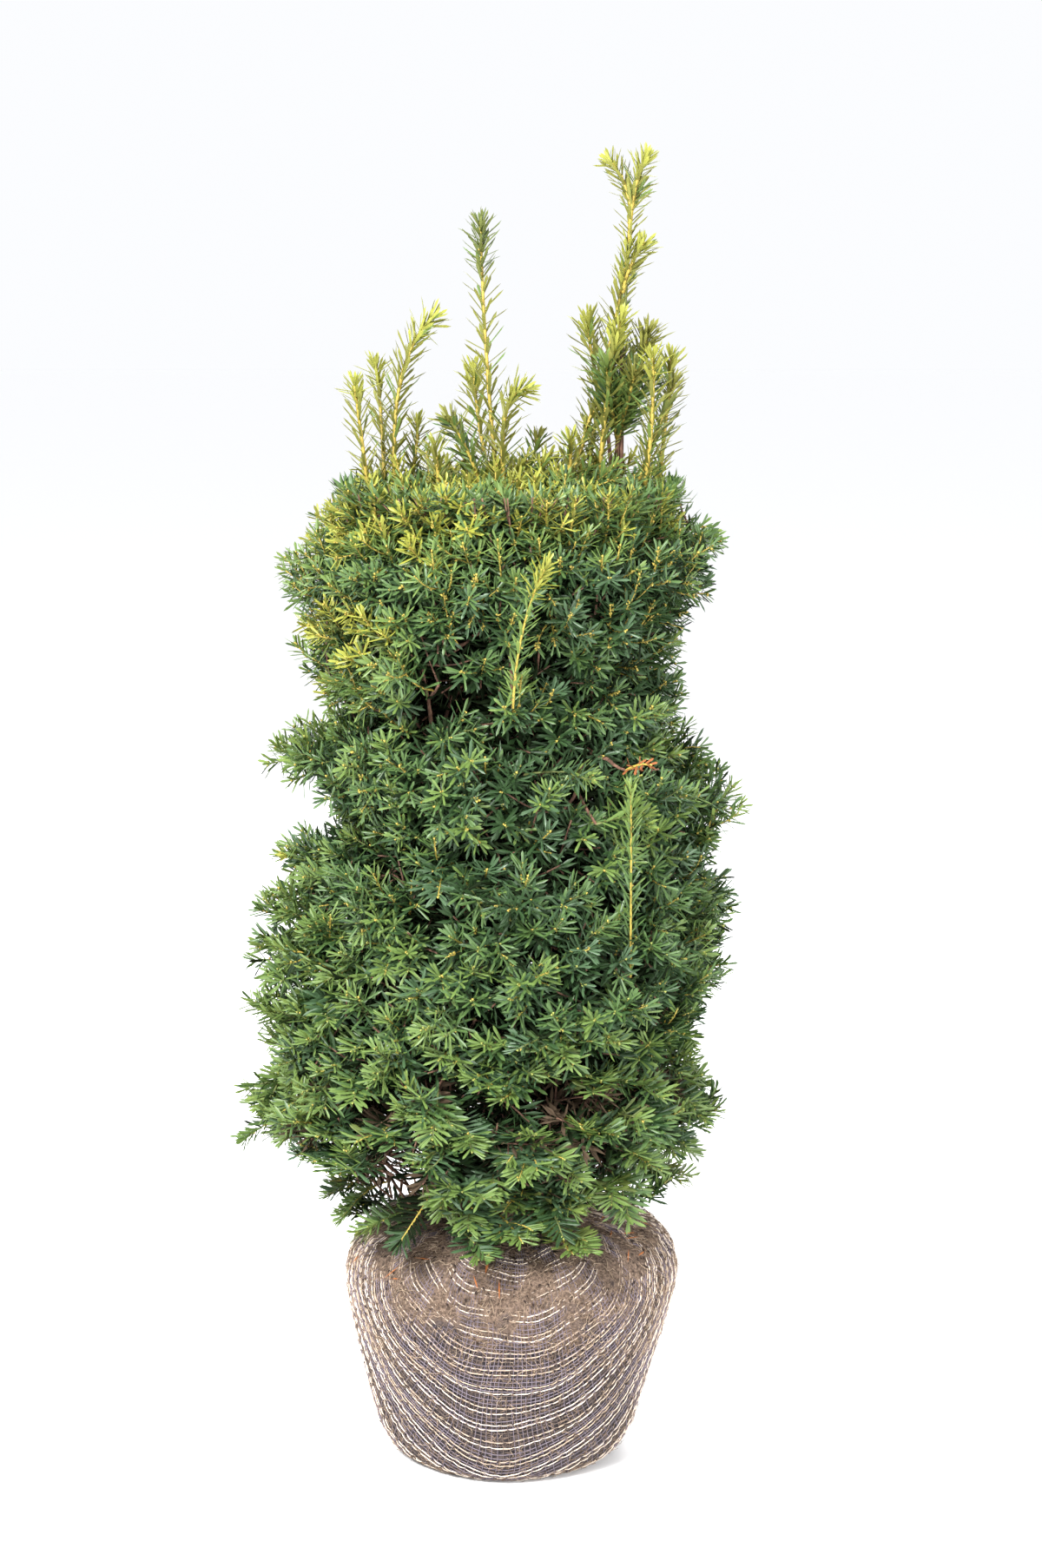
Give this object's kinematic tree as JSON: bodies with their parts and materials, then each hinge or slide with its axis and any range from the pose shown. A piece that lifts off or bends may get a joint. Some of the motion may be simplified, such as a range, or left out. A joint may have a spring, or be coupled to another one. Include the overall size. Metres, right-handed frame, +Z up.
{
  "type": "root-balled yew shrub",
  "caption": "Young upright yew shrub on a netted root ball: stem, leaders and low boughs carry dense masses of needle sprays, with loose shoots standing out of the top.",
  "frame": {"origin": "middle of the root ball's flat underside, on the ground", "axes": "+Z up along the stem, -Y towards the plant's front, +X to its right as seen from the front"},
  "size_m": [0.4374, 0.4347, 1.1231],
  "materials": {
    "net_and_soil": "brown soil in a coarse pale jute net, rough and matt",
    "bark": "thin reddish brown bark, matt",
    "foliage_low": "deep green needles with a soft gloss",
    "foliage_middle": "deep green needles with a soft gloss",
    "foliage_shoulder": "mid green needles with a soft gloss",
    "foliage_top": "fresh yellow green needles with a soft gloss"
  },
  "bodies": {
    "root": {"back_leader": "bark", "back_left_low_bough": "bark", "back_right_low_bough": "bark", "back_top_foliage": "foliage_top", "front_leader": "bark", "front_low_bough": "bark", "front_top_foliage": "foliage_top", "left_leader": "bark", "left_low_bough": "bark", "left_top_foliage": "foliage_top", "low_back_foliage": "foliage_low", "low_front_left_foliage": "foliage_low", "low_front_right_foliage": "foliage_low", "low_left_foliage": "foliage_low", "low_right_foliage": "foliage_low", "middle_back_left_foliage": "foliage_middle", "middle_back_right_foliage": "foliage_middle", "middle_front_foliage": "foliage_middle", "middle_left_foliage": "foliage_middle", "middle_right_foliage": "foliage_middle", "middle_top_foliage": "foliage_top", "right_leader": "bark", "right_low_bough": "bark", "right_top_foliage": "foliage_top", "root_ball": "net_and_soil", "shoulder_back_left_foliage": "foliage_shoulder", "shoulder_back_right_foliage": "foliage_shoulder", "shoulder_front_foliage": "foliage_shoulder", "shoulder_left_foliage": "foliage_shoulder", "shoulder_right_foliage": "foliage_shoulder", "skirt_back_left_foliage": "foliage_low", "skirt_back_right_foliage": "foliage_low", "skirt_front_foliage": "foliage_low", "skirt_left_foliage": "foliage_low", "skirt_right_foliage": "foliage_low", "trunk": "bark", "upper_back_foliage": "foliage_middle", "upper_front_left_foliage": "foliage_middle", "upper_front_right_foliage": "foliage_middle", "upper_left_foliage": "foliage_middle", "upper_right_foliage": "foliage_middle"}
  },
  "joints": []
}
